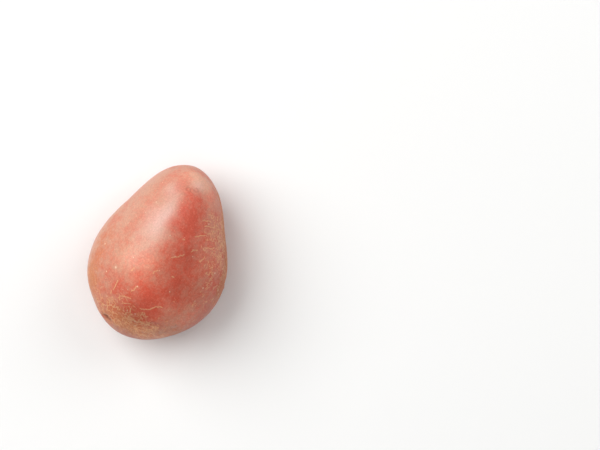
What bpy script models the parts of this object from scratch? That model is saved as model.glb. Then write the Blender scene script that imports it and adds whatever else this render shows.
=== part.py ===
"""A potato: one solid tuber with shallow eyes, a stem scar and the small flat spot that it rests on.

Metres, +Z up. The tuber lies along X: its broad stem end points to -X and its narrow bud end to +X.
The origin is on the surface that it rests on, below the centre of its box.
"""

import math

import bmesh
import bpy
from mathutils import Vector

MM = 0.001

# Overall size of the tuber, as it lies.
LENGTH = 92.0 * MM
WIDTH = 69.5 * MM
HEIGHT = 60.0 * MM
WIDEST_LEVEL = 27.6 * MM  # the height at which the tuber is widest

# How the tuber's breadth, crown and belly swell along its length. Each row holds a station, from -1
# at the stem end to 1 at the bud end, and how full the tuber is there: 1 is a plain ellipsoid.
PLAN_FULLNESS = [(-1.0, 0.967), (-0.55, 1.053), (0.0, 0.978), (0.45, 0.838), (1.0, 0.757)]
CROWN_FULLNESS = [(-1.0, 0.96), (-0.5, 0.97), (0.1, 0.95), (0.55, 0.97), (1.0, 1.02)]
BELLY_FULLNESS = [(-1.0, 0.98), (-0.5, 1.0), (0.0, 1.0), (0.5, 0.92), (1.0, 0.84)]
WAIST_BLEND = 0.25  # how far above and below the widest level the crown and the belly blend
BOW = 2.1 * MM  # both ends stand this far to +Y of the middle

# A blunt ridge runs along the crown, from the middle to the bud end.
RIDGE_HEIGHT = 5.8 * MM
RIDGE_OFFSET = 3.8 * MM  # to +Y of the tuber's middle line
RIDGE_REACH = 15.0 * MM  # how far to each side of the crest the ridge spreads
RIDGE_START = -0.65  # stations where it begins, stands highest and would die out
RIDGE_FULL = 0.12
RIDGE_END = 1.15
RIDGE_FOOT = 0.6  # the ridge fades out from this high on the crown down to the widest level

# Broad swells (+) and hollows (-): station, angle round the tuber, reach over the surface, height.
# The angle is in degrees about X, from +Y (0) over the crown (90) to -Y (180) and the belly (270).
LUMPS = [
    (-0.45, 60.0, 20.0 * MM, 0.7 * MM),
    (0.35, 129.0, 13.0 * MM, -1.2 * MM),
    (0.84, 114.0, 9.0 * MM, 1.4 * MM),
    (-0.60, 140.0, 18.0 * MM, 0.9 * MM),
    (-0.10, 195.0, 16.0 * MM, 0.6 * MM),
    (0.40, 215.0, 15.0 * MM, -0.9 * MM),
    (0.75, 235.0, 13.0 * MM, 0.8 * MM),
    (-0.62, 232.0, 15.0 * MM, -0.8 * MM),
    (0.35, 318.0, 16.0 * MM, -0.9 * MM),
    (-0.25, 330.0, 18.0 * MM, 0.8 * MM),
    (-0.75, 300.0, 14.0 * MM, 0.7 * MM),
]

# Eyes: station and angle of each. They crowd together towards the bud end.
EYES = [
    (0.77, 96.0),
    (0.31, 94.0),
    (-0.68, 143.0),
    (-0.75, 118.0),
    (-0.05, 190.0),
    (0.45, 205.0),
    (-0.40, 245.0),
    (0.62, 255.0),
    (0.20, 300.0),
    (-0.50, 315.0),
    (0.70, 340.0),
    (0.90, 150.0),
    (0.93, 20.0),
    (0.97, 270.0),
]
EYE_WIDTH = 6.5 * MM
EYE_DEPTH = 0.45 * MM

# The scar where the tuber hung from its stem.
STEM_SCAR = (-0.88, 41.0)
STEM_SCAR_WIDTH = 8.0 * MM
STEM_SCAR_DEPTH = 1.0 * MM

REST_PRESS = 0.6 * MM  # how much of the belly the flat spot takes off

SPHERE_SUBDIVISIONS = 5
NEAR_DENT = 0.8  # faces within this many widths of an eye or of the scar are split once more
SHARP_ANGLE = 40.0  # degrees; only the rim of the flat spot may be sharper

SKIN_COLOUR = (0.56, 0.17, 0.11, 1.0)
SKIN_ROUGHNESS = 0.42


def clear_scene():
    for obj in list(bpy.data.objects):
        bpy.data.objects.remove(obj, do_unlink=True)


def smooth_step(value, low, high):
    """0 below low, 1 above high, and an S-curve between them."""
    share = min(1.0, max(0.0, (value - low) / (high - low)))
    return share * share * (3.0 - 2.0 * share)


def read_curve(stations, position):
    """The smooth curve through the (station, value) rows, read at a position."""
    last = len(stations) - 2
    row = next((i for i in range(last) if position < stations[i + 1][0]), last)

    def slope(i):
        before, after = stations[max(0, i - 1)], stations[min(len(stations) - 1, i + 1)]
        return (after[1] - before[1]) / (after[0] - before[0])

    (start, low), (end, high) = stations[row], stations[row + 1]
    span = end - start
    t = (position - start) / span
    return (
        (2 * t**3 - 3 * t**2 + 1) * low
        + (t**3 - 2 * t**2 + t) * span * slope(row)
        + (3 * t**2 - 2 * t**3) * high
        + (t**3 - t**2) * span * slope(row + 1)
    )


def direction_at(station, angle_deg):
    """The unit vector that points to a station and an angle round the tuber."""
    ring = math.sqrt(1.0 - station * station)
    angle = math.radians(angle_deg)
    return Vector((station, ring * math.cos(angle), ring * math.sin(angle)))


def plain_point(direction):
    """Where the tuber's surface lies in a direction, before its ridge, lumps and eyes."""
    station = direction.x
    above = smooth_step(direction.z, -WAIST_BLEND, WAIST_BLEND)
    crown = (HEIGHT - WIDEST_LEVEL) * read_curve(CROWN_FULLNESS, station)
    belly = WIDEST_LEVEL * read_curve(BELLY_FULLNESS, station)
    return Vector(
        (
            station * LENGTH / 2,
            direction.y * WIDTH / 2 * read_curve(PLAN_FULLNESS, station) + BOW * station**2,
            direction.z * (belly + (crown - belly) * above),
        )
    )


def ridge_rise(direction, point):
    """How much the ridge lifts a point of the crown."""
    aside = point.y - RIDGE_OFFSET
    along = smooth_step(direction.x, RIDGE_START, RIDGE_FULL)
    along *= 1.0 - smooth_step(direction.x, RIDGE_FULL, RIDGE_END)
    around = smooth_step(direction.z, 0.0, RIDGE_FOOT) * math.exp(-((aside / RIDGE_REACH) ** 2))
    return RIDGE_HEIGHT * along * around


def lump_rise(point):
    """How far the broad swells and hollows move a point outwards."""
    rise = 0.0
    for station, angle, reach, height in LUMPS:
        away = (point - plain_point(direction_at(station, angle))).length
        rise += height * math.exp(-((away / reach) ** 2))
    return rise


def body_point(direction):
    """Where the tuber's surface lies in a direction, without its eyes and scar."""
    point = plain_point(direction)
    point += direction * lump_rise(point)
    point.z += ridge_rise(direction, point)
    return point


def dents():
    """The centre, width and depth of every eye and of the stem scar."""
    for station, angle in EYES:
        yield body_point(direction_at(station, angle)), EYE_WIDTH, EYE_DEPTH
    yield body_point(direction_at(*STEM_SCAR)), STEM_SCAR_WIDTH, STEM_SCAR_DEPTH


def refine_near_dents(mesh):
    """Splits the sphere's faces once more round each dent, and puts the new corners on the sphere."""
    spots = [(centre, width * NEAR_DENT) for centre, width, _ in dents()]
    edges = set()
    for face in mesh.faces:
        middle = body_point(face.calc_center_median().normalized())
        if any((middle - centre).length < reach for centre, reach in spots):
            edges.update(face.edges)
    bmesh.ops.subdivide_edges(mesh, edges=list(edges), cuts=1, use_grid_fill=True)
    bmesh.ops.triangulate(mesh, faces=mesh.faces[:])
    for corner in mesh.verts:
        corner.co.normalize()


def press_dents(mesh):
    """Pushes the skin in, with a smooth rim, at each eye and at the stem scar."""
    spots = list(dents())
    mesh.normal_update()
    moves = []
    for corner in mesh.verts:
        depth = 0.0
        for centre, width, full_depth in spots:
            away = (corner.co - centre).length / (width / 2)
            if away < 1.0:
                depth += full_depth * (1.0 - away * away) ** 2
        moves.append(corner.normal * -depth)
    for corner, move in zip(mesh.verts, moves):
        corner.co += move


def press_rest_spot(mesh):
    """Cuts the belly flat where the tuber rests, and closes the cut with one face."""
    lowest = min(corner.co.z for corner in mesh.verts)
    cut = bmesh.ops.bisect_plane(
        mesh,
        geom=mesh.verts[:] + mesh.edges[:] + mesh.faces[:],
        plane_co=(0.0, 0.0, lowest + REST_PRESS),
        plane_no=(0.0, 0.0, 1.0),
        clear_inner=True,
    )
    rim = [part for part in cut["geom_cut"] if isinstance(part, bmesh.types.BMEdge)]
    bmesh.ops.edgeloop_fill(mesh, edges=rim)


def scale_to_size(mesh):
    """Brings the tuber's box to its stated size, with the origin below the box's centre."""
    low, high = box_of(mesh)
    size = high - low
    centre = (low + high) / 2
    for corner in mesh.verts:
        corner.co.x = (corner.co.x - centre.x) * LENGTH / size.x
        corner.co.y = (corner.co.y - centre.y) * WIDTH / size.y
        corner.co.z = (corner.co.z - low.z) * HEIGHT / size.z


def box_of(mesh):
    corners = [corner.co for corner in mesh.verts]
    low = Vector([min(co[axis] for co in corners) for axis in range(3)])
    high = Vector([max(co[axis] for co in corners) for axis in range(3)])
    return low, high


def skin_material():
    material = bpy.data.materials.new("potato_skin")
    material.use_nodes = True
    shader = material.node_tree.nodes["Principled BSDF"]
    shader.inputs["Base Color"].default_value = SKIN_COLOUR
    shader.inputs["Roughness"].default_value = SKIN_ROUGHNESS
    shader.inputs["Metallic"].default_value = 0.0
    return material


def make_potato():
    mesh = bmesh.new()
    bmesh.ops.create_icosphere(mesh, subdivisions=SPHERE_SUBDIVISIONS, radius=1.0)
    refine_near_dents(mesh)
    for corner in mesh.verts:
        corner.co = body_point(corner.co.normalized())
    press_dents(mesh)
    press_rest_spot(mesh)
    scale_to_size(mesh)
    bmesh.ops.recalc_face_normals(mesh, faces=mesh.faces[:])

    data = bpy.data.meshes.new("potato")
    mesh.to_mesh(data)
    mesh.free()
    data.shade_smooth()
    data.set_sharp_from_angle(angle=math.radians(SHARP_ANGLE))
    data.materials.append(skin_material())
    potato = bpy.data.objects.new("potato", data)
    bpy.context.scene.collection.objects.link(potato)
    return potato


def main():
    clear_scene()
    make_potato()


main()
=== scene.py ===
# %% [markdown]
# # A red potato
#
# A potato is the swollen end of an underground stem. It grew as one piece, so this lesson makes one
# piece: a pear-shaped tuber with a thin, satin, pink-red skin, shallow eyes, a scar where it hung
# from its stem, corky netting and pale breathing pores.
#
# The shape and the size are already decided by the frame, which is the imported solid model. It is
# loaded first, and everything below is measured from it, so nothing has to be fitted afterwards.

# %% Load the frame
import math
import random

import bpy
import numpy as np
from mathutils import Matrix, Vector, noise
from mathutils.bvhtree import BVHTree
from mathutils.kdtree import KDTree


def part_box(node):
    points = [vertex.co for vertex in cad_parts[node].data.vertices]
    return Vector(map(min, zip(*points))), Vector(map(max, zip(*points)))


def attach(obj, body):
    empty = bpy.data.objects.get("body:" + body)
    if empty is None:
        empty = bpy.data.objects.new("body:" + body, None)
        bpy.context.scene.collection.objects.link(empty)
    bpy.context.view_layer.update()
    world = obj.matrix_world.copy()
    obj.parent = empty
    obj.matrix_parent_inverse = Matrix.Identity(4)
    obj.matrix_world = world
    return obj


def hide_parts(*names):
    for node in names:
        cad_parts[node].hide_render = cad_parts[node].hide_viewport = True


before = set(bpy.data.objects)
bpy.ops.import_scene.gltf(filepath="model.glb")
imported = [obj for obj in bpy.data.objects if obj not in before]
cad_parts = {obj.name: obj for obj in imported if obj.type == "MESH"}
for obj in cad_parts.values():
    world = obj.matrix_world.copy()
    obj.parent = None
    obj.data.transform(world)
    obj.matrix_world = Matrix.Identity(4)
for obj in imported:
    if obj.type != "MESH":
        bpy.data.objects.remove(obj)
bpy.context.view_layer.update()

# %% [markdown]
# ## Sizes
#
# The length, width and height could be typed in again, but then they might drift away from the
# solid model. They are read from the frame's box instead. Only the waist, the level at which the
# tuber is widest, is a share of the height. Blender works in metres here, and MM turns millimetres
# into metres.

MM = 0.001

low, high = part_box("potato")
size = high - low
middle = (low + high) / 2
WAIST_SHARE = 0.46  # of the height: the level at which the tuber is widest
waist = low.z + WAIST_SHARE * size.z
print("tuber, mm:", [round(side / MM, 1) for side in size])

# %% [markdown]
# ## Two small helpers
#
# Blender's operators act on whatever is selected. Selecting one object on its own before each step
# keeps a step from changing something else. Modifiers are applied at once here, because later
# steps move single vertices and need the real mesh.

# %% Helpers for selecting and for modifiers
def select_only(obj):
    bpy.ops.object.select_all(action="DESELECT")
    obj.select_set(True)
    bpy.context.view_layer.objects.active = obj


def apply_modifier(obj, kind, **settings):
    select_only(obj)
    modifier = obj.modifiers.new(kind.lower(), kind)
    for name, value in settings.items():
        setattr(modifier, name, value)
    bpy.ops.object.modifier_apply(modifier=modifier.name)


# %% [markdown]
# ## A smooth guide
#
# The frame's tuber is made of flat triangles that aren't joined to each other. A copy of it is
# merged into one surface and rounded with Subdivision Surface. The copy is only a guide that the
# fine skin is laid onto, and it is removed in the end. The frame's own object stays as it is.

# %% Copy, merge and round the frame's tuber
WELD = 0.01 * MM

select_only(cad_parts["potato"])
bpy.ops.object.duplicate()
guide = bpy.context.active_object
guide.name = "guide"
bpy.ops.object.mode_set(mode="EDIT")
bpy.ops.mesh.select_all(action="SELECT")
bpy.ops.mesh.remove_doubles(threshold=WELD)
bpy.ops.object.mode_set(mode="OBJECT")
apply_modifier(guide, "SUBSURF", levels=2, render_levels=2)
guide_tree = BVHTree.FromObject(guide, bpy.context.evaluated_depsgraph_get())
print("guide:", len(guide.data.polygons), "faces")

# %% [markdown]
# ## The skin
#
# A ball could be made from a UV sphere, but its faces crowd together at two poles, and fine detail
# would look pinched there. A cube that is subdivided many times has no poles and nearly even
# squares. It starts as a box of the tuber's size, Subdivision Surface rounds it, and Shrinkwrap
# lays it onto the guide. Seven levels give squares of about 0.4 mm, small enough for the rim of
# an eye and for a corky crack.

# %% Lay a fine skin onto the guide
FINE_LEVELS = 7

bpy.ops.object.select_all(action="DESELECT")
bpy.ops.mesh.primitive_cube_add(size=1.0, location=middle, scale=size)
tuber = bpy.context.active_object
tuber.name = "potato_tuber"
bpy.ops.object.transform_apply(location=True, rotation=True, scale=True)
apply_modifier(tuber, "SUBSURF", levels=FINE_LEVELS, render_levels=FINE_LEVELS)
apply_modifier(tuber, "SHRINKWRAP", target=guide, wrap_method="TARGET_PROJECT")
apply_modifier(tuber, "SMOOTH", factor=0.5, iterations=6)
apply_modifier(tuber, "SHRINKWRAP", target=guide, wrap_method="TARGET_PROJECT")
print("skin:", len(tuber.data.polygons), "faces")

# %% [markdown]
# ## Reading and writing the skin as numbers
#
# The remaining shaping is like sculpting: small moves of many vertices. Doing it on arrays is fast
# and exact. `points` holds where each vertex is and `outward` which way the skin faces there.
# Every step below adds to `height`, how far each vertex will be moved outward, and one step at the
# end moves them all.

# %% The skin's points and the height map
skin = tuber.data
count = len(skin.vertices)
points = np.empty(count * 3)
skin.vertices.foreach_get("co", points)
points = points.reshape(-1, 3)
outward = np.empty(count * 3)
skin.vertex_normals.foreach_get("vector", outward)
outward = outward.reshape(-1, 3)
height = np.zeros(count)

# %% [markdown]
# ## Finding a place on the tuber
#
# Two ways of saying where something is suit a tuber. Growers count eyes from the stem end to the
# bud end, so one way is a station, from -1 at the stem end to 1 at the bud end, and an angle round
# the tuber: 0 at its left side (+Y), 90 on the crown, 180 at its right side and 270 on the belly.
# The other way is a map, with x and y in millimetres from the middle, seen from above or below.

# %% Places by station and angle, and by map
def spot_at(guess):
    """The nearest place on the skin, with its outward, lengthwise and crosswise directions."""
    where, normal, _, _ = guide_tree.find_nearest(guess)
    along = (Vector((1.0, 0.0, 0.0)) - normal * normal.x).normalized()
    return where, normal, along, normal.cross(along)


def spot_on_ring(station, angle):
    """The place at a station and at an angle round the tuber."""
    ring = math.sqrt(1.0 - station * station)
    side = ring * math.cos(math.radians(angle)) * size.y / 2
    rise = ring * math.sin(math.radians(angle))
    rise *= high.z - waist if rise > 0 else waist - low.z
    return spot_at(Vector((middle.x + station * size.x / 2, middle.y + side, waist + rise)))


def spot_on_map(x, y, below=False):
    """The place at x and y mm from the middle, seen from above or from below."""
    level = low.z - size.z if below else high.z + size.z
    start = Vector((middle.x + x * MM, middle.y + y * MM, level))
    hit = guide_tree.ray_cast(start, Vector((0.0, 0.0, 1.0 if below else -1.0)))[0]
    return spot_at(hit or Vector((start.x, start.y, waist)))


print("top of the crown, mm:", [round(side / MM, 1) for side in spot_on_map(0.0, 0.0)[0]])

# %% [markdown]
# ## Soft shapes round a place
#
# Hollows and swells in skin have no hard edge. Blender's own proportional editing would give such
# soft moves, but only one at a time. Two curves do the same on arrays: an S-curve between two
# values and a round hill. A third helper finds the vertices near a place, and says how far along
# and across the tuber each of them lies.

# %% Curves and nearness
def ease(value, start, end):
    """0 at start, 1 at end and an S-curve between them."""
    share = np.clip((value - start) / (end - start), 0.0, 1.0)
    return share * share * (3.0 - 2.0 * share)


def bump(distance, width):
    """A round hill: 1 in the middle, falling away over the width."""
    return np.exp(-((distance / width) ** 2))


def near_spot(spot, reach, turn=0.0):
    """The vertices within reach mm of a spot, and how far along and across it each is, in mm."""
    where, _, along, across = spot
    offset = points - np.array(where)
    near = np.nonzero((offset**2).sum(axis=1) < (reach * MM) ** 2)[0]
    a = offset[near] @ np.array(along) / MM
    b = offset[near] @ np.array(across) / MM
    cos, sin = math.cos(math.radians(turn)), math.sin(math.radians(turn))
    return near, a * cos + b * sin, b * cos - a * sin


print("vertices within 5 mm of the top:", len(near_spot(spot_on_map(0.0, 0.0), 5.0)[0]))

# %% [markdown]
# ## Slow swells
#
# No patch of a tuber is perfectly round. Soil, stones and its own growth leave swells of a few
# tenths of a millimetre. Noise, read at each vertex, gives them: wide ones first, then narrower and
# lower ones. They are too gentle to see as lumps, but they break up the highlight. The small flat
# spot that the tuber rests on is left out, so that it stays where the frame has it.

# %% Swells and finer waviness
SWELLS = [(14.0 * MM, 0.30 * MM), (5.0 * MM, 0.075 * MM), (1.9 * MM, 0.018 * MM)]  # reach, height
NOISE_START = Vector((7.0, 3.0, 5.0))
REST_CENTRE = np.array((-2.7, 0.1, 0.0)) * MM
REST_RADIUS = 7.3 * MM
REST_FADE = 2.2  # radii from its middle at which the swells are back to full height

rest_gap = np.linalg.norm(points - REST_CENTRE, axis=1)
for reach, rise in SWELLS:
    for index, point in enumerate(points):
        height[index] += rise * noise.noise(Vector(point) / reach + NOISE_START)
height *= ease(rest_gap, REST_RADIUS, REST_FADE * REST_RADIUS)
print("swells, mm:", round(height.min() / MM, 2), "to", round(height.max() / MM, 2))

# %% [markdown]
# ## Eyes
#
# An eye is a bud that waits in the crook of a scale leaf. The leaf is long gone, and its mark is
# left as a curved brow on the side towards the stem. In front of the brow lies a shallow dish with
# one to three tiny buds. On this kind of potato the eyes are so shallow that they could be missed,
# but the light catches their rims. Each eye is a sum of simple hills and hollows: a dish that is
# wider across the tuber than along it, a brow on an arc, and a ring groove round every bud.
#
# The eyes crowd together towards the bud end, as they do on a real tuber. Their places are the
# same as on the frame's solid, which already has a plain round dent at each. On the crown that dent
# is deeper than the eye should be, so there a negative depth fills it in part.

# %% Shape of one eye
DISH_SQUEEZE = 0.7  # a dish is this much shorter along the tuber than across it

# brown tissue together with painted shade in the hollows of eyes and of the nick
eye_brown_and_painted_shade = np.zeros(count)  # how brown an eye or a nick makes the skin


def press_eye(spot, width, depth, brow, buds):
    """Adds one eye to the height map. Sizes in mm; buds are (along, across, width, height) rows."""
    near, a, b = near_spot(spot, 1.6 * width)
    radius = np.hypot(a / DISH_SQUEEZE, b)
    relief = -depth * bump(radius, 0.42 * width)
    # painted shade in the dish, darker the deeper the dish is
    shade = 0.6 * bump(radius, 0.4 * width) * ease(depth, 0.0, 0.6)

    # the brow on the stem side, with a crease in front of it
    stemward = ease(-a / np.maximum(radius, 0.01), 0.0, 0.7)
    rim = np.hypot(a / DISH_SQUEEZE + 0.12 * width, b)
    relief += brow * bump(rim - 0.5 * width, 0.10 * width) * stemward
    relief -= 0.6 * brow * bump(rim - 0.34 * width, 0.07 * width) * stemward

    # the buds, each with a ring groove; a bud of negative height is a mere pinhole
    for bud_a, bud_b, bud_width, bud_height in buds:
        away = np.hypot(a - bud_a, b - bud_b)
        groove = bump(away - 0.6 * bud_width, 0.17 * bud_width)
        relief += bud_height * bump(away, 0.36 * bud_width)
        relief -= 0.45 * abs(bud_height) * groove
        # the groove round a bud, or a pinhole, is painted dark: brown tissue and painted shade together
        mark = 0.70 * groove if bud_height > 0 else bump(away, 0.5 * bud_width)
        shade = np.maximum(shade, mark)

    height[near] += relief * MM
    eye_brown_and_painted_shade[near] = np.maximum(eye_brown_and_painted_shade[near], shade)


# %% [markdown]
# A table of the eyes comes next. An eye could be pressed once and copied, but no two look alike, so
# each has its own width, depth, brow and buds.

# %% All eyes
# station, angle, width mm, depth mm, brow mm, buds
EYES = [
    (0.77, 96, 6.5, -0.20, 0.00, [(-0.4, 2.0, 1.9, 0.16), (-0.4, -0.1, 1.8, 0.14), (1.1, -1.9, 1.7, 0.14)]),
    (0.31, 94, 6.0, -0.34, 0.03, [(0.3, 0.9, 0.9, 0.06), (-0.4, -0.8, 0.8, 0.05), (0.9, -0.3, 0.6, 0.05)]),
    (-0.68, 143, 6.0, -0.34, 0.00, [(0.0, 0.0, 0.9, -0.12)]),
    (-0.75, 118, 6.0, -0.25, 0.06, [(0.2, 0.9, 1.2, 0.08), (0.2, -0.7, 1.2, 0.08)]),
    (-0.05, 190, 6.0, 0.70, 0.40, [(0.5, 0.8, 1.5, 0.30), (0.2, -1.1, 1.3, 0.24)]),
    (0.45, 205, 5.5, 0.65, 0.40, [(0.4, 0.0, 1.7, 0.35)]),
    (-0.40, 245, 6.5, 0.80, 0.50, [(0.6, 1.0, 1.6, 0.32), (0.3, -1.2, 1.5, 0.28)]),
    (0.62, 255, 5.5, 0.60, 0.40, [(0.3, 0.0, 1.6, 0.30)]),
    (0.20, 300, 6.5, 0.80, 0.50, [(0.5, 0.0, 1.8, 0.36)]),
    (-0.50, 315, 6.0, 0.65, 0.40, [(0.4, 0.6, 1.5, 0.28), (0.2, -1.1, 1.2, 0.24)]),
    (0.70, 340, 5.5, 0.50, 0.35, [(0.3, 0.0, 1.5, 0.26)]),
    (0.90, 150, 4.5, 0.05, 0.15, [(0.2, 0.0, 1.6, 0.20)]),
    (0.93, 20, 4.5, 0.35, 0.25, [(0.2, 0.6, 1.3, 0.22), (0.0, -0.9, 1.2, 0.20)]),
    (0.97, 270, 4.0, 0.40, 0.25, [(0.0, 0.0, 1.6, 0.28)]),
]

for station, angle, width, depth, brow, buds in EYES:
    press_eye(spot_on_ring(station, angle), width, depth, brow, buds)
print("eyes:", len(EYES))

# %% [markdown]
# ## The stem scar
#
# Where the tuber broke off its stem, a dry brown pit is left, longer than it is wide, with a ragged
# corky collar. It is sculpted the same way, inside the frame's wider dent, and its outline is made
# uneven with noise so that it doesn't look drilled.

# %% Sink the stem scar
SCAR_PLACE = (-0.892, 31)
SCAR_TURN = -25.0  # degrees; the rest is in mm
SCAR_REACH = 9.0
SCAR_HALF_LENGTH = 3.2
SCAR_HALF_WIDTH = 2.1
SCAR_DEPTH = 0.40
SCAR_COLLAR = 0.22
RAG_REACH = 1.3
RAG = 0.22  # how far the outline strays, as a share

near, a, b = near_spot(spot_on_ring(*SCAR_PLACE), SCAR_REACH, SCAR_TURN)
ragged = np.array([noise.noise(Vector(points[index]) / (RAG_REACH * MM)) for index in near])
distance = np.hypot(a / SCAR_HALF_WIDTH, b / SCAR_HALF_LENGTH) * (1.0 + RAG * ragged)
height[near] -= SCAR_DEPTH * MM * (1.0 - ease(distance, 0.35, 1.15))
height[near] += SCAR_COLLAR * MM * bump(distance - 1.45, 0.4) * (1.0 + 0.8 * ragged)
scar_shade = np.zeros(count)  # how brown the scar makes the skin
scar_shade[near] = 1.0 - ease(distance, 0.45, 1.20)
print("stem scar covers", int((scar_shade > 0.5).sum()), "vertices")

# %% [markdown]
# ## A healed nick
#
# Not far from the scar, a stone once nicked the skin. It healed as a low lens with a shallow groove
# round it. It is made like the scar, but its outline is a clean oval.

# %% Raise the healed nick
NICK_PLACE = (-33.6, -11.0)  # mm on the map, as all sizes here
NICK_REACH = 6.0
NICK_HALF_LENGTH = 2.2
NICK_HALF_WIDTH = 0.85
NICK_RISE = 0.12
GROOVE_AT = 1.25  # half widths from the middle
NICK_SHADE = 0.40

near, a, b = near_spot(spot_on_map(*NICK_PLACE), NICK_REACH)
distance = np.hypot(a / NICK_HALF_WIDTH, b / NICK_HALF_LENGTH)
height[near] += NICK_RISE * MM * bump(distance, 0.9)
height[near] -= NICK_RISE * MM * bump(distance - GROOVE_AT, 0.30)
# the groove round the nick is painted darker: brown and painted shade together
eye_brown_and_painted_shade[near] = np.maximum(eye_brown_and_painted_shade[near], NICK_SHADE * bump(distance - GROOVE_AT, 0.35))
print("nick covers", int((distance < 1.0).sum()), "vertices")

# %% [markdown]
# ## Corky lines
#
# As a tuber swells, its outer skin splits in fine lines, and the plant heals them with pale gold
# cork. They wander, branch a little and never cross the whole tuber. Each line here is a short walk
# over the skin: at every step the heading turns a little, at random but from a fixed seed, and the
# point is put back onto the guide. A texture of cells would be quicker, but its straight edges
# meet in corners everywhere, like cracked mud, so the material only uses it, bent by noise, to fill
# in between the walked lines where the cork is thickest.

# %% Walks over the skin
STEP = 0.2 * MM
CURL = 7.0  # degrees by which the heading strays per step
BRANCH_CHANCE = 0.09  # per step
BRANCH_LENGTH = 0.6  # as shares of the line it leaves
BRANCH_STRENGTH = 0.85

wander = random.Random(5)
line_points = []  # places, each with the strength of the line there


def walk_line(spot, heading, length, strength, branches=True):
    """One line of some mm from a spot. Its heading is in degrees from the tuber's length."""
    where, normal, along, _ = spot
    way = Matrix.Rotation(math.radians(heading), 3, normal) @ along
    steps = max(3, int(length * MM / STEP))
    bend = 0.0
    for step in range(steps):
        bend = 0.85 * bend + wander.gauss(0.0, CURL)
        way = Matrix.Rotation(math.radians(bend), 3, normal) @ way
        where, normal, _, _ = guide_tree.find_nearest(where + way * STEP)
        way = (way - normal * way.dot(normal)).normalized()
        taper = min(1.0, 4.0 * min(step + 1, steps - step) / steps)
        line_points.append((where, strength * taper))
        if branches and wander.random() < BRANCH_CHANCE:
            side = wander.choice((-1.0, 1.0)) * wander.uniform(45.0, 95.0)
            fork = (where, normal, way, normal.cross(way))
            walk_line(fork, side, BRANCH_LENGTH * length, BRANCH_STRENGTH * strength, False)


def scatter_lines(place, reach_along, reach_across, number, lengths, heading, spread, strengths):
    """Walks a number of lines in a patch round a place. All reaches and lengths are in mm."""
    where, _, along, across = place
    for _ in range(number):
        shift = along * wander.gauss(0.0, reach_along) + across * wander.gauss(0.0, reach_across)
        turn = wander.gauss(heading, spread) + wander.choice((0.0, 180.0))
        length = wander.uniform(*lengths)
        walk_line(spot_at(where + shift * MM), turn, length, wander.uniform(*strengths))


# %% [markdown]
# The lines gather where the skin stretched most: round the stem end, along the right flank and in
# places on the belly. Each row below is one patch, with its own number, lengths and main heading.

# %% Patches of lines
# place, reach along mm, reach across mm, number, lengths mm, heading, spread, strengths
LINE_PATCHES = [
    (spot_on_map(-36, 11), 5.0, 8.0, 26, (3.0, 8.0), 0, 90, (0.6, 1.0)),
    (spot_on_map(-35, -3), 5.0, 8.0, 20, (3.0, 8.0), 60, 60, (0.5, 1.0)),
    (spot_on_map(-30, 8), 3.0, 6.0, 8, (2.0, 6.0), 70, 40, (0.6, 1.0)),
    (spot_on_map(-26, 23), 8.0, 5.0, 14, (1.0, 4.0), 0, 40, (0.2, 0.7)),
    (spot_on_map(-28, -22), 8.0, 7.0, 18, (1.5, 5.0), 40, 60, (0.3, 0.8)),
    (spot_on_map(13, -26), 8.0, 4.5, 50, (3.0, 9.0), 8, 20, (0.6, 1.0)),
    (spot_on_map(9, -24), 8.0, 3.5, 18, (1.5, 4.0), 80, 20, (0.6, 1.0)),
    (spot_on_map(22, -19), 3.5, 4.0, 16, (1.5, 4.0), 85, 16, (0.6, 1.0)),
    (spot_on_map(-5, -30), 8.0, 5.0, 28, (2.0, 6.0), 10, 35, (0.5, 1.0)),
    (spot_on_map(29, -14), 4.0, 3.0, 5, (1.2, 3.0), 80, 20, (0.3, 0.7)),
    (spot_on_map(-10, 27), 10.0, 4.0, 10, (0.8, 2.4), 10, 60, (0.1, 0.5)),
    (spot_on_map(-4, 0), 22.0, 14.0, 30, (0.8, 2.4), 90, 40, (0.1, 0.5)),
    (spot_on_ring(-0.55, 270), 12.0, 12.0, 40, (3.0, 8.0), 80, 50, (0.2, 0.9)),
    (spot_on_ring(0.30, 225), 14.0, 9.0, 24, (3.0, 8.0), 20, 50, (0.2, 0.9)),
    (spot_on_ring(0.10, 340), 16.0, 9.0, 24, (3.0, 8.0), 30, 50, (0.2, 0.9)),
    (spot_on_ring(0.75, 290), 8.0, 8.0, 14, (2.0, 5.0), 70, 50, (0.2, 0.9)),
    (spot_on_ring(-0.95, 280), 6.0, 14.0, 26, (3.0, 8.0), 0, 90, (0.2, 0.9)),
    (spot_on_ring(-0.93, 50), 3.5, 8.0, 30, (2.0, 6.0), 0, 90, (0.6, 1.0)),
    (spot_on_ring(-0.93, 120), 3.5, 8.0, 30, (2.0, 6.0), 0, 90, (0.6, 1.0)),
    (spot_on_ring(-0.60, 15), 9.0, 5.0, 34, (1.5, 5.0), 10, 60, (0.4, 0.9)),
    (spot_on_ring(-0.25, 8), 9.0, 4.0, 16, (1.0, 3.5), 10, 60, (0.2, 0.7)),
    (spot_on_ring(0.20, 172), 18.0, 5.0, 40, (2.0, 6.0), 10, 30, (0.6, 1.0)),
    (spot_on_ring(-0.90, 75), 5.0, 6.0, 22, (1.5, 5.0), 0, 90, (0.6, 1.0)),
    (spot_on_ring(-0.86, 126), 5.0, 6.0, 22, (1.5, 5.0), 0, 90, (0.6, 1.0)),
    (spot_on_map(17, -22), 8.0, 3.0, 18, (1.5, 4.0), 80, 25, (0.6, 1.0)),
    (spot_on_map(1, -28), 8.0, 4.0, 18, (1.5, 4.0), 60, 40, (0.5, 0.9)),
    (spot_on_ring(0.18, 200), 13.0, 5.0, 34, (2.0, 6.0), 20, 60, (0.3, 0.9)),
]
for patch in LINE_PATCHES:
    scatter_lines(*patch)
print("points along walked lines:", len(line_points))

# %% [markdown]
# ## Longer lines
#
# A few longer lines stand out on the crown. Chance would put them anywhere, so these are drawn one
# by one: a smooth curve through a few listed points of the map, with a slight quiver.

# %% Lines drawn one by one
QUIVER = 0.35  # mm

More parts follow.
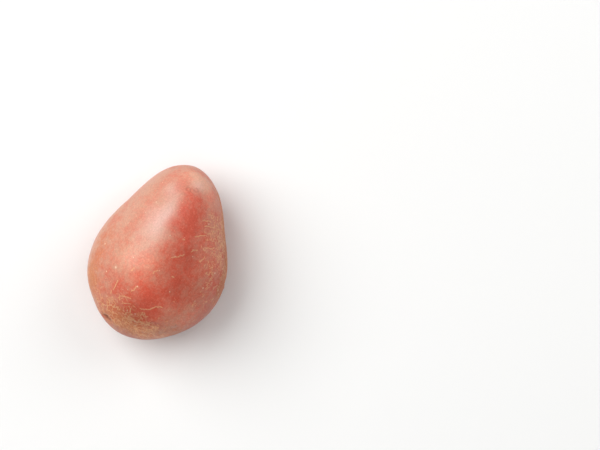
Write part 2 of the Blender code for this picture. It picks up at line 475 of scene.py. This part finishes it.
# points as (x, y) mm on the map, seen from above
DRAWN_LINES = [
    [(-0.5, -4.6), (1.2, -7.2), (2.6, -9.6), (5.4, -12.0)],
    [(6.0, -13.0), (7.6, -14.6), (8.6, -16.4)],
    [(-10.8, -0.2), (-8.8, -1.2), (-7.6, -3.0)],
    [(-13.8, 10.2), (-12.4, 9.6), (-10.6, 8.8)],
    [(-24.0, 7.0), (-21.4, 5.6), (-20.0, 5.0), (-18.8, 3.0)],
    [(-29.6, 11.8), (-28.0, 11.2), (-26.8, 9.6), (-26.2, 6.4), (-25.9, 3.4)],
    [(-30.2, 9.4), (-29.6, 6.6), (-28.2, 4.0)],
    [(-29.2, 1.4), (-28.9, -1.6), (-27.8, -5.0), (-25.4, -7.4), (-24.4, -10.2), (-24.6, -12.6)],
    [(-28.2, 15.6), (-26.0, 15.9)],
    [(-26.4, 15.4), (-24.0, 14.8), (-21.6, 14.8), (-18.6, 14.4)],
    [(10.6, -7.2), (11.0, -8.6)],
    [(13.6, -11.6), (15.2, -14.6), (16.8, -17.2)],
    [(22.4, -12.0), (23.6, -15.6), (23.2, -17.0)],
    [(20.4, -13.8), (21.2, -17.4), (21.6, -20.2)],
    [(10.4, -18.2), (11.6, -22.0), (13.0, -23.4)],
    [(2.8, -18.8), (5.2, -20.2), (7.2, -20.6)],
    [(2.4, -25.8), (0.4, -26.6), (-0.4, -26.8)],
    [(-8.4, -9.4), (-8.0, -10.8)],
]


def smooth_path(knots, pieces=24):
    """A smooth curve through the knots (Catmull-Rom)."""
    padded = [np.array(knot) for knot in [knots[0], *knots, knots[-1]]]
    for before, start, end, after in zip(padded, padded[1:], padded[2:], padded[3:]):
        slope = end - before
        bend = 2 * before - 5 * start + 4 * end - after
        twist = 3 * start - before - 3 * end + after
        for piece in range(pieces):
            t = piece / pieces
            yield start + 0.5 * (slope * t + bend * t**2 + twist * t**3)


for knots in DRAWN_LINES:
    path = list(smooth_path(knots))
    for index, (x, y) in enumerate(path):
        quiver = QUIVER * noise.noise(Vector((x, y, 0.0)))
        taper = min(1.0, 5.0 * min(index + 1, len(path) - index) / len(path))
        line_points.append((spot_on_map(x + quiver, y + quiver)[0], taper))
print("points along all lines:", len(line_points))

# %% [markdown]
# ## From lines to the skin
#
# A line could be cut into the mesh as edges, but it is thinner than a face. So each vertex stores
# how far it is from the nearest line, and the material draws the line from that distance. A faint
# line is stored as if it were further away. The cork also stands up a little from the skin.

# %% Distance from every vertex to the nearest line
GAP_LIMIT = 1.0 * MM
FADE = 0.45 * MM  # how much further away the faintest line seems
LINE_RISE = 0.05 * MM

line_tree = KDTree(len(line_points))
for index, (where, _) in enumerate(line_points):
    line_tree.insert(where, index)
line_tree.balance()
line_gap = np.empty(count)
for index, point in enumerate(points):
    _, nearest, away = line_tree.find(point)
    line_gap[index] = min(GAP_LIMIT, away + (1.0 - line_points[nearest][1]) * FADE)
height += LINE_RISE * bump(line_gap, 0.35 * MM)
print("vertices on lines:", int((line_gap < 0.3 * MM).sum()))

# %% [markdown]
# ## Pores
#
# The skin breathes through small corky pores. They show as cream dots, each on a slight swelling.
# A noise texture gives dots too, but clumped or in rows. Here places are drawn at random and kept
# only if no other pore is too close, with a few larger pores placed first.

# %% Scatter the pores
PORE_NUMBER = 130
PORE_SPACING = 2.4 * MM
PORE_TRIES = 4000
PORE_LIMIT = 3.0  # radii, past which a pore isn't felt
PORE_RISE = 0.07 * MM
# x, y and radius in mm
BIG_PORES = [
    (-14.7, 17.9, 0.75),
    (-18.5, 21.7, 0.55),
    (-6.4, 28.0, 0.60),
    (-6.7, 11.5, 0.50),
    (0.8, -28.0, 0.65),
    (-4.2, -28.6, 0.50),
    (-8.1, -25.6, 0.65),
    (-6.8, -32.6, 0.60),
    (-8.4, -33.4, 0.60),
    (-15.7, -11.3, 0.45),
    (-32.6, 0.6, 0.55),
    (-36.1, -0.5, 0.45),
    (-38.2, -1.3, 0.45),
    (1.5, -7.2, 0.40),
    (-7.8, -2.9, 0.45),
    (-19.2, 4.4, 0.50),
    (-15.6, -24.3, 0.45),
    (22.2, -16.0, 0.50),
]

pores = [(spot_on_map(x, y)[0], radius * MM) for x, y, radius in BIG_PORES]
tries = 0
while len(pores) < PORE_NUMBER and tries < PORE_TRIES:
    tries += 1
    where = Vector(points[wander.randrange(count)])
    if all((where - other).length > PORE_SPACING for other, _ in pores):
        pores.append((where, wander.uniform(0.16, 0.42) * MM))
pore_tree = KDTree(len(pores))
for index, (where, _) in enumerate(pores):
    pore_tree.insert(where, index)
pore_tree.balance()
pore_gap = np.empty(count)  # 0 in the middle of a pore, 1 at its rim
for index, point in enumerate(points):
    _, nearest, away = pore_tree.find(point)
    pore_gap[index] = min(PORE_LIMIT, away / pores[nearest][1])
height += PORE_RISE * bump(pore_gap, 1.0)
print("pores:", len(pores))

# %% [markdown]
# ## Moving the skin
#
# Now every vertex is moved outward by its height. The belly is then pressed flat at the level of
# the surface that the tuber rests on, and the whole skin is brought back to the frame's exact box,
# because the rounding and the swells changed it by a few tenths of a millimetre.

# %% Move, flatten and fit
REST_PRESS = 0.25 * MM  # how much of the belly is pressed flat

shaped = points + outward * height[:, None]
floor_level = shaped[:, 2].min() + REST_PRESS
shaped[:, 2] = np.maximum(shaped[:, 2], floor_level)

lowest = shaped.min(axis=0)
highest = shaped.max(axis=0)
wanted_low, wanted_high = np.array(low), np.array(high)
fitted = wanted_low + (shaped - lowest) * (wanted_high - wanted_low) / (highest - lowest)
skin.vertices.foreach_set("co", fitted.ravel())
skin.update()

rest_spot = fitted[fitted[:, 2] < low.z + 0.001 * MM]
rest_span = rest_spot.max(axis=0) - rest_spot.min(axis=0)
print("flat spot, mm:", np.round(rest_span[:2] / MM, 1))
print("moved at most, mm:", round(float(abs(fitted - points).max()) / MM, 2))

# %% [markdown]
# ## Painting by zones
#
# The colour of a red potato isn't even. The red pigment is thick in some places and thin in
# others, a dry bloom and a painted highlight pale the ridge, and towards the stem end and along one
# flank the skin is covered in tan, netted cork. Brushing this on by hand would need an image file.
# Instead, soft patches are placed on the map and warped with noise so that their edges wander. They
# are stored on the vertices as named attributes that the material reads: how red the skin is, how
# much bloom, painted highlight and cork it has, how much painted light and shade it gets and how
# densely it is netted.

# %% Soft patches
WARP_REACH = 9.0 * MM
WARP = 2.2 * MM
WARP_SEED = 8  # noise_vector starts somewhere else in every run unless it is seeded

noise.seed_set(WARP_SEED)
swirls = np.array([list(noise.noise_vector(Vector(point) / WARP_REACH)) for point in points])
warped = points + WARP * swirls


def paint(base, patches):
    """Adds soft patches (place, reach along mm, reach across mm, amount) to an even base."""
    amount = np.full(count, base)
    for (where, _, along, across), reach_along, reach_across, strength in patches:
        offset = warped - np.array(where)
        a = offset @ np.array(along) / (reach_along * MM)
        b = offset @ np.array(across) / (reach_across * MM)
        within = (a * reach_along) ** 2 + (b * reach_across) ** 2
        beside = np.maximum((offset**2).sum(axis=1) / MM**2 - within, 0.0)
        c = beside / max(reach_along, reach_across) ** 2
        amount += strength * np.exp(-(a**2 + b**2 + c))
    return np.clip(amount, 0.0, 1.0)


print("warped at most, mm:", round(float(abs(warped - points).max()) / MM, 2))

# %% [markdown]
# ## Red pigment
#
# The pigment sits in the outermost cells. It is thick on the crown beside the ridge and in front
# of the stem end, and thin on the left flank, which is more tan. A negative amount thins it.

# %% Where the skin is red
RED_BASE = 0.52
RED_PATCHES = [
    (spot_on_map(28, -4), 9.0, 5.5, 0.34),
    (spot_on_map(17, -7), 10.0, 7.0, 0.48),
    (spot_on_map(12, -16), 16.0, 8.0, 0.15),
    (spot_on_map(-1, -8), 9.0, 7.0, 0.25),
    (spot_on_map(-15, 4), 7.0, 6.0, -0.08),
    (spot_on_map(-3, -15), 7.0, 5.0, 0.22),
    (spot_on_map(38, -3), 4.5, 4.0, -0.30),
    (spot_on_map(-6, 13), 6.0, 5.0, -0.12),
    (spot_on_map(-21, -3), 6.5, 7.5, 0.54),
    (spot_on_map(-13, -14), 9.0, 8.0, 0.28),
    (spot_on_map(-6, -30), 10.0, 6.0, 0.25),
    (spot_on_map(-25, 9), 5.0, 6.0, 0.28),
    (spot_on_map(30, 13), 5.0, 2.6, 0.20),
    (spot_on_map(14, 22), 18.0, 9.0, -0.48),
    (spot_on_map(27, 12), 9.0, 6.0, -0.30),
    (spot_on_map(21, 7), 11.0, 4.5, -0.30),
    (spot_on_map(4, 9), 8.0, 7.0, -0.42),
    (spot_on_map(-8, 17), 9.0, 8.0, -0.34),
    (spot_on_map(-10, 27), 12.0, 6.0, -0.20),
    (spot_on_map(42, -2), 6.0, 9.0, -0.40),
    (spot_on_map(-30, -20), 8.0, 8.0, -0.22),
    (spot_on_map(-40, -8), 6.0, 10.0, -0.20),
    (spot_on_map(-27, 18), 6.0, 5.0, -0.22),
    (spot_on_map(34, 17), 14.0, 5.0, -0.55),
    (spot_on_map(-30, -2), 4.0, 7.0, 0.36),
    (spot_on_map(0, -17), 9.0, 5.0, 0.14),
    (spot_on_map(14, -28), 14.0, 6.0, 0.15),
    (spot_on_ring(0.20, 168), 22.0, 7.0, 0.28),
    (spot_on_map(-6, 33), 26.0, 5.0, -0.50),
    (spot_on_ring(0.0, 2), 34.0, 6.0, -0.30),
    (spot_on_map(-36, 0), 7.0, 12.0, 0.16),
    (spot_on_map(37, -9), 5.0, 4.5, -0.42),
    (spot_on_map(-33, 3), 6.0, 11.0, 0.28),
    (spot_on_map(20, 0, below=True), 14.0, 12.0, 0.35),
    (spot_on_map(-14, -16, below=True), 12.0, 10.0, 0.30),
    (spot_on_map(-4, 18, below=True), 14.0, 9.0, -0.25),
]
redness = paint(RED_BASE, RED_PATCHES)
print("mean redness:", round(float(redness.mean()), 2))

# %% [markdown]
# ## Bloom and a painted highlight
#
# Dry, waxy skin scatters light and looks paler and cooler. Most of this pale layer, though, is a
# painted highlight along the left side of the ridge, at the tip and below the ridge. More gloss would
# whiten the ridge as well, but only from one side. As a thin pale layer, the painted highlight stays
# where it is from every side. The long band down the left rim and the patch under the belly only
# lighten the skin.

# %% Where the skin has bloom and a painted highlight
BLOOM_AND_HIGHLIGHT_BASE = 0.0
BLOOM_AND_HIGHLIGHT_PATCHES = [
    # most rows are a painted highlight along the ridge, at the tip and below the ridge
    (spot_on_map(31, 8), 6.0, 4.0, 0.45),
    (spot_on_map(22, 5), 9.0, 3.4, 0.70),
    (spot_on_map(12, 6), 8.0, 4.2, 0.45),
    (spot_on_map(11, 12), 10.0, 4.5, 0.42),
    (spot_on_map(38, -4), 4.5, 4.5, 0.50),
    (spot_on_map(-7, 11), 6.0, 5.0, 0.16),
    (spot_on_map(14, 22), 14.0, 7.0, 0.10),
    (spot_on_ring(-0.1, 2), 34.0, 5.5, 0.24),
    (spot_on_ring(0.75, 15), 9.0, 6.0, 0.20),
    (spot_on_map(4, -10, below=True), 12.0, 6.0, 0.35),
]
bloom_and_painted_highlight = paint(BLOOM_AND_HIGHLIGHT_BASE, BLOOM_AND_HIGHLIGHT_PATCHES)
print("mean bloom:", round(float(bloom_and_painted_highlight.mean()), 2))

# %% [markdown]
# ## Cork
#
# Cork tints the skin tan where it lies as a film, and shows as a net where it is thickest. The film
# and the net are kept apart as two attributes, because the film reaches further.

# %% Where the skin is corky
CORK_BASE = 0.06
CORK_PATCHES = [
    (spot_on_map(-10, 30), 15.0, 8.0, 0.42),
    (spot_on_map(-26, 28), 10.0, 8.0, 0.60),
    (spot_on_map(-37, 12), 8.0, 10.0, 0.50),
    (spot_on_map(-38, -2), 8.0, 10.0, 0.40),
    (spot_on_map(-34, -22), 9.0, 11.0, 0.45),
    (spot_on_map(12, -30), 15.0, 8.0, 0.92),
    (spot_on_map(27, -24), 8.0, 7.0, 0.75),
    (spot_on_map(-6, -34), 10.0, 8.0, 0.60),
    (spot_on_ring(-0.93, 60), 7.0, 14.0, 0.22),
    (spot_on_ring(-0.93, 125), 7.0, 12.0, 0.22),
    (spot_on_map(37, -15), 6.0, 5.0, 0.60),
    (spot_on_map(-26, 4, below=True), 16.0, 18.0, 0.55),
    (spot_on_map(16, 8, below=True), 14.0, 14.0, 0.30),
]
NET_BASE = 0.0
NET_PATCHES = [
    (spot_on_map(-38, 10), 9.0, 13.0, 0.75),
    (spot_on_map(-38, -8), 7.0, 11.0, 0.45),
    (spot_on_map(10, -29), 15.0, 6.0, 0.70),
    (spot_on_ring(-0.90, 60), 7.0, 12.0, 0.50),
    (spot_on_ring(-0.90, 125), 7.0, 12.0, 0.50),
    (spot_on_ring(-0.50, 8), 10.0, 6.0, 0.40),
    (spot_on_ring(0.18, 198), 15.0, 6.0, 0.45),
    (spot_on_map(25, -22), 7.0, 5.0, 0.50),
    (spot_on_map(-26, 4, below=True), 14.0, 14.0, 0.60),
    (spot_on_map(14, 14, below=True), 12.0, 9.0, 0.40),
    (spot_on_map(10, -20, below=True), 14.0, 7.0, 0.40),
]
corkiness = paint(CORK_BASE, CORK_PATCHES)
netting = paint(NET_BASE, NET_PATCHES)
print("mean corkiness:", round(float(corkiness.mean()), 2))

# %% [markdown]
# ## Painted light and shade
#
# These patches lighten and darken the colour whatever its hue. Most are painted light and shade:
# painted light at the bud end, on the crown below the ridge's highlight and round the stem end, and
# painted shade down the right flank. The other darker patches lie about the middle of the crown and
# towards the stem end. One more attribute holds all of it: 0.5 changes nothing much, 0 darkens,
# 1 lightens.

# %% Where light and shade are painted, and all of it stored
PAINTED_LIGHT_AND_SHADE_BASE = 0.5
PAINTED_LIGHT_AND_SHADE_PATCHES = [
    # painted light and shade; the ring row at 170 degrees is painted shade down the right flank
    (spot_on_map(42, -2), 6.0, 9.0, 0.35),
    (spot_on_map(36, -11), 6.0, 4.5, 0.38),
    (spot_on_map(-7, 4), 7.0, 5.5, 0.28),
    (spot_on_map(-9, 13), 8.0, 6.0, 0.22),
    (spot_on_map(-17, 4), 6.5, 6.0, 0.14),
    (spot_on_ring(0.15, 170), 22.0, 7.0, -0.20),
    (spot_on_map(-41, -10), 5.0, 10.0, 0.35),
    (spot_on_map(-27, -24), 8.0, 6.0, 0.28),
    (spot_on_map(-38, -17), 5.0, 6.0, 0.15),
    (spot_on_map(-30, -2), 4.0, 7.0, -0.14),
    (spot_on_map(3, -14), 8.0, 6.0, -0.22),
    (spot_on_map(-24, -4), 4.5, 6.0, -0.18),
    (spot_on_map(-13, -15), 7.0, 7.0, -0.25),
    (spot_on_map(-34, 1), 6.0, 8.0, -0.40),
    (spot_on_map(-8, -24), 8.0, 6.0, -0.12),
]
painted_light_and_shade = paint(PAINTED_LIGHT_AND_SHADE_BASE, PAINTED_LIGHT_AND_SHADE_PATCHES)

for name, values in {
    "redness": redness,
    "bloom_and_painted_highlight": bloom_and_painted_highlight,
    "corkiness": corkiness,
    "netting": netting,
    "painted_light_and_shade": painted_light_and_shade,
    "line_gap": line_gap / MM,
    "pore_gap": pore_gap,
    "eye_brown_and_painted_shade": eye_brown_and_painted_shade,
    "scar_shade": scar_shade,
}.items():
    layer = skin.attributes.new(name, "FLOAT", "POINT")
    layer.data.foreach_set("value", values.astype(np.float32))
print("attributes on the skin:", len(skin.attributes))

# %% [markdown]
# ## Building a material from nodes
#
# A material is a graph: patterns and painted attributes on the left, one shader on the right. It
# could be drawn in the node editor. In code, each helper below adds one node, links what it is given
# and hands back the output, so that the recipe further down reads from the ground up.

# %% Helpers for nodes
skin_finish = bpy.data.materials.new("potato_skin")
skin_finish.use_nodes = True
tree = skin_finish.node_tree
shader = tree.nodes["Principled BSDF"]


def feed(source, target):
    """Links an output to an input, or sets the input if the source is a plain value."""
    if isinstance(source, bpy.types.NodeSocket):
        tree.links.new(source, target)
    else:
        target.default_value = source


def attribute(name):
    node = tree.nodes.new("ShaderNodeAttribute")
    node.attribute_name = name
    return node.outputs["Fac"]


def noise_node(reach, detail=2.0, roughness=0.5):
    """Fractal noise whose blobs are about `reach` metres wide."""
    node = tree.nodes.new("ShaderNodeTexNoise")
    feed(skin_place, node.inputs["Vector"])
    node.inputs["Scale"].default_value = 1.0 / reach
    node.inputs["Detail"].default_value = detail
    node.inputs["Roughness"].default_value = roughness
    return node


def remap(value, start, end, to_start=0.0, to_end=1.0):
    """Turns the range from start to end into another one, with soft ends."""
    node = tree.nodes.new("ShaderNodeMapRange")
    node.interpolation_type = "SMOOTHSTEP"
    feed(value, node.inputs["Value"])
    node.inputs["From Min"].default_value = start
    node.inputs["From Max"].default_value = end
    node.inputs["To Min"].default_value = to_start
    node.inputs["To Max"].default_value = to_end
    return node.outputs["Result"]


def maths(operation, first, second, clamp=False):
    node = tree.nodes.new("ShaderNodeMath")
    node.operation = operation
    node.use_clamp = clamp
    feed(first, node.inputs[0])
    feed(second, node.inputs[1])
    return node.outputs[0]


def blend(share, first, second, how="MIX"):
    """Lays a second colour over a first one, as thickly as the share says."""
    node = tree.nodes.new("ShaderNodeMix")
    node.data_type = "RGBA"
    node.blend_type = how
    feed(share, node.inputs[0])
    feed(first, node.inputs[6])
    feed(second, node.inputs[7])
    return node.outputs[2]


# %% [markdown]
# ## Three patterns
#
# Skin varies at several scales at once: clouds some millimetres wide, a mottle of 2 or 3 mm, and a
# grain just under 1 mm. One noise with much detail would mix them. As three patterns, each layer
# can follow the one it needs. All read Object coordinates, so they stay fixed to the tuber.

# %% Clouds, mottle and grain
skin_place = tree.nodes.new("ShaderNodeTexCoord").outputs["Object"]
clouds = noise_node(6.5 * MM, detail=3.0).outputs["Fac"]
mottle = noise_node(2.4 * MM, detail=4.0, roughness=0.62).outputs["Fac"]
grain = noise_node(0.9 * MM, detail=4.0, roughness=0.8).outputs["Fac"]
print("nodes so far:", len(tree.nodes))

# %% [markdown]
# ## Ground and pigment
#
# Under the pigment the skin is tan-pink. A single red would look like paint. The painted redness,
# clouded and mottled, sets how thickly the red lies over the ground, as in the real skin.

# %% Lay red over the ground
GROUND = (0.61, 0.29, 0.19, 1.0)
RED = (0.66, 0.10, 0.055, 1.0)

red = attribute("redness")
red = maths("ADD", red, remap(clouds, 0.3, 0.7, -0.16, 0.16))
red = maths("ADD", red, remap(mottle, 0.3, 0.7, -0.20, 0.20), clamp=True)
colour = blend(red, GROUND, RED)
print("nodes so far:", len(tree.nodes))

# %% [markdown]
# ## Flecks, bloom and a painted highlight
#
# Tiny scales of skin lift and look pale, so the grain is cut off to leave flecks, more of them where
# the mottle is light. The bloom and the painted highlight are one pale layer over both.

# %% Add flecks, bloom and the painted highlight
FLECK = (0.70, 0.36, 0.24, 1.0)
BLOOM_AND_HIGHLIGHT_COLOUR = (0.74, 0.50, 0.43, 1.0)

flecks = remap(mottle, 0.40, 0.62, 0.08, 0.46)
flecks = maths("MULTIPLY", flecks, remap(grain, 0.54, 0.68))
colour = blend(flecks, colour, FLECK)
# the pale layer: some bloom, and mostly a painted highlight along the ridge and at the tip
bloom_and_highlight_share = remap(mottle, 0.3, 0.7, 0.75, 1.0)
bloom_and_highlight_share = maths("MULTIPLY", bloom_and_highlight_share, attribute("bloom_and_painted_highlight"))
colour = blend(bloom_and_highlight_share, colour, BLOOM_AND_HIGHLIGHT_COLOUR)
print("nodes so far:", len(tree.nodes))

# %% [markdown]
# ## Cork
#
# The film of cork is an orange tan that never hides the skin fully. Where it is thickest it has
# cracked into a net. A pattern of cells makes the net in one step, but with straight walls, so its
# coordinates are bent by noise first, and the clouds break it up.

# %% Add the film and the net of cork
CORK = (0.56, 0.19, 0.05, 1.0)
GOLD = (0.77, 0.40, 0.20, 1.0)
FILM = 0.60  # the most that the film covers
CELL = 3.6 * MM
BEND = 3.4 * MM
BEND_REACH = 2.2 * MM

film = remap(mottle, 0.3, 0.7, -0.20, 0.20)
film = maths("ADD", film, attribute("corkiness"))
film = remap(film, 0.10, 0.95, 0.0, FILM)
colour = blend(film, colour, CORK)

bent = tree.nodes.new("ShaderNodeVectorMath")
bent.operation = "MULTIPLY_ADD"
feed(noise_node(BEND_REACH, detail=3.0).outputs["Color"], bent.inputs[0])
bent.inputs[1].default_value = (BEND, BEND, BEND)
feed(skin_place, bent.inputs[2])
cells = tree.nodes.new("ShaderNodeTexVoronoi")
cells.feature = "DISTANCE_TO_EDGE"
feed(bent.outputs[0], cells.inputs["Vector"])
cells.inputs["Scale"].default_value = 1.0 / CELL
net = remap(cells.outputs["Distance"], 0.085, 0.025)
net = maths("MULTIPLY", net, remap(clouds, 0.40, 0.50))
net = maths("MULTIPLY", net, remap(attribute("netting"), 0.05, 0.65))
colour = blend(maths("MULTIPLY", net, 0.80), colour, GOLD)
print("nodes so far:", len(tree.nodes))

# %% [markdown]
# ## Lines and pores
#
# Both are drawn from the distances stored on the skin: full colour near the middle, nothing past
# the edge, and a soft step between. The grain eats into the lines, so that they aren't even.

# %% Draw the lines and the pores
LINE_EDGE = 0.42  # mm from the middle of a line
LINE_CORE = 0.14
CREAM = (0.88, 0.66, 0.46, 1.0)

lines = remap(attribute("line_gap"), LINE_EDGE, LINE_CORE)
lines = maths("MULTIPLY", lines, remap(grain, 0.25, 0.6, 0.5, 1.0))
colour = blend(maths("MULTIPLY", lines, 0.85), colour, GOLD)
pores = remap(attribute("pore_gap"), 1.1, 0.35)
colour = blend(maths("MULTIPLY", pores, 0.65), colour, CREAM)
print("nodes so far:", len(tree.nodes))

# %% [markdown]
# ## Eyes and scar
#
# Old leaf marks and the scar are dead, brown tissue. The eyes' brown is painted shade as well: it is
# darker the deeper an eye's dish is, and it fills the grooves round the buds and the nick, so that
# these hollows stay dark even in flat light, where real shadow would vanish. The scar has only its
# own brown.

# %% Brown and shade the eyes, and brown the scar
EYE_BROWN_AND_SHADE = (0.36, 0.13, 0.08, 1.0)
SCAR_BROWN = (0.36, 0.12, 0.06, 1.0)

eyes = remap(mottle, 0.35, 0.65, 0.35, 0.7)
eyes = maths("MULTIPLY", eyes, attribute("eye_brown_and_painted_shade"))
# brown tissue and painted shade in the eyes' dishes and grooves
colour = blend(eyes, colour, EYE_BROWN_AND_SHADE)
colour = blend(attribute("scar_shade"), colour, SCAR_BROWN)
print("nodes so far:", len(tree.nodes))

# %% [markdown]
# ## Painted light and shade
#
# The painted light and shade and a fine grain multiply the finished colour, so that they darken or
# lift every layer alike.

# %% Paint light and shade onto the colour, with a fine grain
speckle_and_painted_light = remap(grain, 0.25, 0.75, 0.86, 1.12)
# the painted light and shade multiply in here
speckle_and_painted_light = maths("MULTIPLY", speckle_and_painted_light, remap(attribute("painted_light_and_shade"), 0.0, 1.0, 0.7, 1.3))
tint = tree.nodes.new("ShaderNodeCombineColor")
for channel in tint.inputs[:3]:
    feed(speckle_and_painted_light, channel)
colour = blend(1.0, colour, tint.outputs["Color"], how="MULTIPLY")
feed(colour, shader.inputs["Base Color"])
print("nodes so far:", len(tree.nodes))

# %% [markdown]
# ## Shine
#
# Clean red skin has a satin shine and cork is dull. A coat would look varnished, so only the
# roughness changes: it follows the film of cork, and the grain makes it uneven.

# %% Set the shine
dull = remap(film, 0.0, 0.7, 0.47, 0.62)
dull = maths("ADD", dull, remap(grain, 0.3, 0.7, -0.05, 0.05))
feed(dull, shader.inputs["Roughness"])
shader.inputs["Specular IOR Level"].default_value = 0.42
print("nodes so far:", len(tree.nodes))

# %% [markdown]
# ## Relief finer than a face
#
# The skin's roughness to the touch is far smaller than a face of the mesh, so it is a bump, which
# only tilts the light. It is strongest in the cork. All that can be seen as a shape is real mesh.

# %% Add the fine relief
BUMP_HEIGHT = 0.12 * MM

coarse = maths("ADD", maths("MULTIPLY", film, 0.8), 0.25)
relief = maths("MULTIPLY", grain, coarse)
relief = maths("ADD", relief, maths("MULTIPLY", net, 0.6))
relief = maths("ADD", relief, maths("MULTIPLY", lines, 0.7))
relief = maths("ADD", relief, maths("MULTIPLY", pores, 0.4))
uneven = tree.nodes.new("ShaderNodeBump")
uneven.inputs["Strength"].default_value = 0.5
uneven.inputs["Distance"].default_value = BUMP_HEIGHT
feed(relief, uneven.inputs["Height"])
feed(uneven.outputs["Normal"], shader.inputs["Normal"])
print("nodes in all:", len(tree.nodes))

# %% [markdown]
# ## Finishing the piece
#
# The skin gets its material and is shaded smooth, because a tuber has no edges. The guide is
# removed, and the piece is tied to the frame: it moves with the frame's only body, and it stands for
# the frame's plain tuber, which is hidden.

# %% Tie the tuber to the frame
skin.materials.clear()
skin.materials.append(skin_finish)
select_only(tuber)
bpy.ops.object.shade_smooth()
bpy.data.objects.remove(guide, do_unlink=True)
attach(tuber, "root")
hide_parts("potato")
print("triangles:", 2 * len(skin.polygons))

# %% [markdown]
# ## The camera
#
# The camera looks straight down, with the bud end up and to the right. Its lens follows from how
# much it has to see at the tuber's waist. The lights are easier to place as the camera sees them,
# so two directions, right and up, are worked out from its turn.

# %% Place the camera
CAMERA_TURN = math.radians(67.6)
CAMERA_HEIGHT = 1.2
VIEW_WIDTH = 301.3 * MM  # what the camera sees from side to side at the tuber's waist
AIM_RIGHT = 68.4 * MM  # the tuber lies this far left of the view's middle
AIM_UP = 14.0 * MM
SENSOR = 36.0

right = Vector((math.cos(CAMERA_TURN), -math.sin(CAMERA_TURN), 0.0))
up = Vector((math.sin(CAMERA_TURN), math.cos(CAMERA_TURN), 0.0))
camera_data = bpy.data.cameras.new("camera")
camera_data.sensor_width = SENSOR
camera_data.lens = SENSOR * (CAMERA_HEIGHT - waist) / VIEW_WIDTH
camera = bpy.data.objects.new("camera", camera_data)
bpy.context.scene.collection.objects.link(camera)
camera.location = right * AIM_RIGHT + up * AIM_UP + Vector((0.0, 0.0, CAMERA_HEIGHT))
camera.rotation_euler = (0.0, 0.0, -CAMERA_TURN)
bpy.context.scene.camera = camera
print("lens, mm:", round(camera_data.lens, 1))

# %% [markdown]
# ## The floor
#
# The tuber lies on plain white board. A flat plane is enough, much wider than the view, so that no
# edge of it shows from any side. It is matt, because a gloss would mirror the lights.

# %% Lay the floor
FLOOR_SIDE = 8.0
FLOOR_WHITE = (0.9, 0.9, 0.89, 1.0)
FLOOR_ROUGHNESS = 0.9

bpy.ops.object.select_all(action="DESELECT")
bpy.ops.mesh.primitive_plane_add(size=FLOOR_SIDE, location=(0.0, 0.0, low.z))
floor = bpy.context.active_object
floor.name = "floor"
board = bpy.data.materials.new("white_board")
board.use_nodes = True
board_shader = board.node_tree.nodes["Principled BSDF"]
board_shader.inputs["Base Color"].default_value = FLOOR_WHITE
board_shader.inputs["Roughness"].default_value = FLOOR_ROUGHNESS
floor.data.materials.append(board)
print("floor, m:", [round(side, 1) for side in floor.dimensions])

# %% [markdown]
# ## The lights
#
# A small lamp would give a hard shadow and a spot of glare. Three wide panels are used, as in a
# studio. The key light stands to the left, at about 50 degrees, and leaves a broad satin highlight
# along the ridge. A weaker one fills the far side from beyond the bud end, and a third hangs
# overhead and softens the shadow. A dim white world stands for the light that the walls send back.

# %% Hang the lights
# name, place as right, up and towards the camera in m, sides in m, power in W
LIGHTS = [
    ("key_light", (-1.36, 0.85, 1.92), (2.2, 2.2), 64.0),
    ("fill_light", (1.46, 1.02, 1.61), (1.5, 1.5), 16.5),
    ("sky_light", (0.0, 0.01, 2.5), (1.7, 1.7), 13.5),
]
WALL_LIGHT = 0.12

for name, place, sides, power in LIGHTS:
    panel = bpy.data.lights.new(name, "AREA")
    panel.shape = "RECTANGLE"
    panel.size, panel.size_y = sides
    panel.energy = power
    light = bpy.data.objects.new(name, panel)
    bpy.context.scene.collection.objects.link(light)
    light.location = right * place[0] + up * place[1] + Vector((0.0, 0.0, place[2]))
    aim = Vector((0.0, 0.0, middle.z)) - light.location
    light.rotation_euler = aim.to_track_quat("-Z", "Y").to_euler()

walls = bpy.data.worlds.new("studio_walls")
walls.use_nodes = True
walls.node_tree.nodes["Background"].inputs["Color"].default_value = (1.0, 1.0, 1.0, 1.0)
walls.node_tree.nodes["Background"].inputs["Strength"].default_value = WALL_LIGHT
bpy.context.scene.world = walls
bpy.context.scene.view_settings.view_transform = "Standard"
print("lights:", len(LIGHTS))
